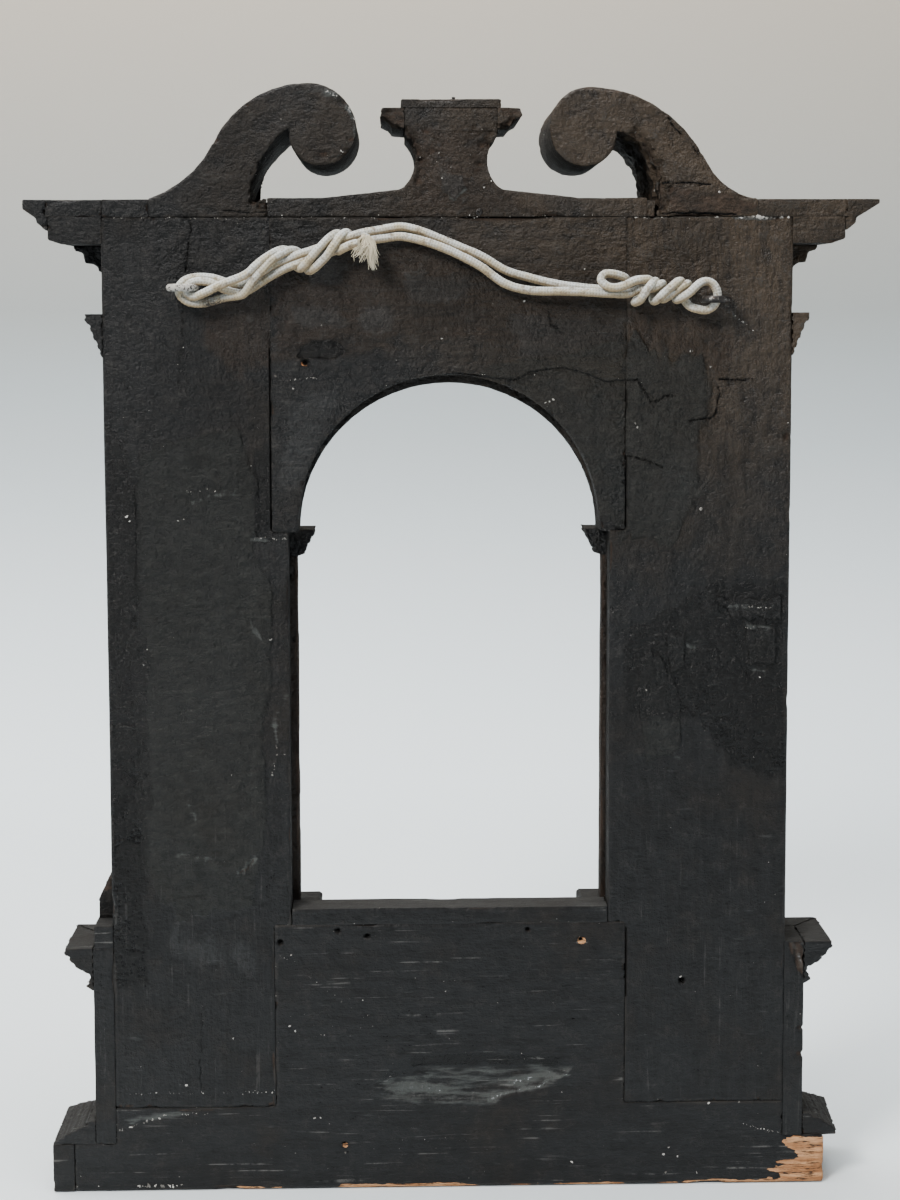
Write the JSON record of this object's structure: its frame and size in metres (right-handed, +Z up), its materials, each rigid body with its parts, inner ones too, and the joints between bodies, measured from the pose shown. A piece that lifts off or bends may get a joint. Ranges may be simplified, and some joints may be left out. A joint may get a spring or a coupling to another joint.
{
  "type": "reliquary frame",
  "caption": "Ebonised wooden tabernacle frame with a round-headed opening, pilasters and a broken scroll pediment, made to stand or to hang by a cord, for showing a relic or small picture.",
  "frame": {"origin": "centre of the underside of the plinth, midway between the back plane and the plinth's front", "axes": "+Z up, +Y out of the boarded back, +X towards the left side as seen from behind"},
  "size_m": [0.4756, 0.1063, 0.6226],
  "materials": {
    "ebonised_wood": "old black stain and wax on softwood, satin, scratched and worn to brown at the edges",
    "iron": "dark wrought wire, dull, flecked with paint",
    "rope": "soiled cream cotton line, matt"
  },
  "bodies": {
    "root": {"arch_rail": "ebonised_wood", "archivolt": "ebonised_wood", "astragal_left": "ebonised_wood", "astragal_right": "ebonised_wood", "base_board": "ebonised_wood", "base_moulding_front": "ebonised_wood", "base_moulding_left": "ebonised_wood", "base_moulding_right": "ebonised_wood", "bed_moulding": "ebonised_wood", "bracket_moulding": "ebonised_wood", "bracket_top_plate": "ebonised_wood", "capital_left": "ebonised_wood", "capital_right": "ebonised_wood", "cornice_moulding_front": "ebonised_wood", "cornice_moulding_left": "ebonised_wood", "cornice_moulding_right": "ebonised_wood", "corona_block_left": "ebonised_wood", "corona_block_right": "ebonised_wood", "corona_front": "ebonised_wood", "dado_front": "ebonised_wood", "dado_side_left": "ebonised_wood", "dado_side_right": "ebonised_wood", "filler_strip": "ebonised_wood", "frieze_board": "ebonised_wood", "impost_left": "ebonised_wood", "impost_right": "ebonised_wood", "inner_base_left": "ebonised_wood", "inner_base_right": "ebonised_wood", "jamb_strip_left": "ebonised_wood", "jamb_strip_right": "ebonised_wood", "ledge_moulding_front": "ebonised_wood", "ledge_moulding_left": "ebonised_wood", "ledge_moulding_right": "ebonised_wood", "pediment_board": "ebonised_wood", "pilaster_base_left": "ebonised_wood", "pilaster_base_right": "ebonised_wood", "pilaster_left": "ebonised_wood", "pilaster_plinth_left": "ebonised_wood", "pilaster_plinth_right": "ebonised_wood", "pilaster_right": "ebonised_wood", "plinth_front": "ebonised_wood", "plinth_return_left": "ebonised_wood", "rope_knot": "rope", "rope_loop_left": "rope", "rope_loop_right": "rope", "rope_strand_lower": "rope", "rope_strand_upper": "rope", "rope_twist_left": "rope", "rope_twist_right": "rope", "screw_eye_left": "iron", "screw_eye_right": "iron", "scroll_left": "ebonised_wood", "scroll_right": "ebonised_wood", "sill_strip": "ebonised_wood", "stile_left": "ebonised_wood", "stile_right": "ebonised_wood", "top_board_left_inner": "ebonised_wood", "top_board_left_outer": "ebonised_wood", "top_board_right": "ebonised_wood"}
  },
  "joints": []
}
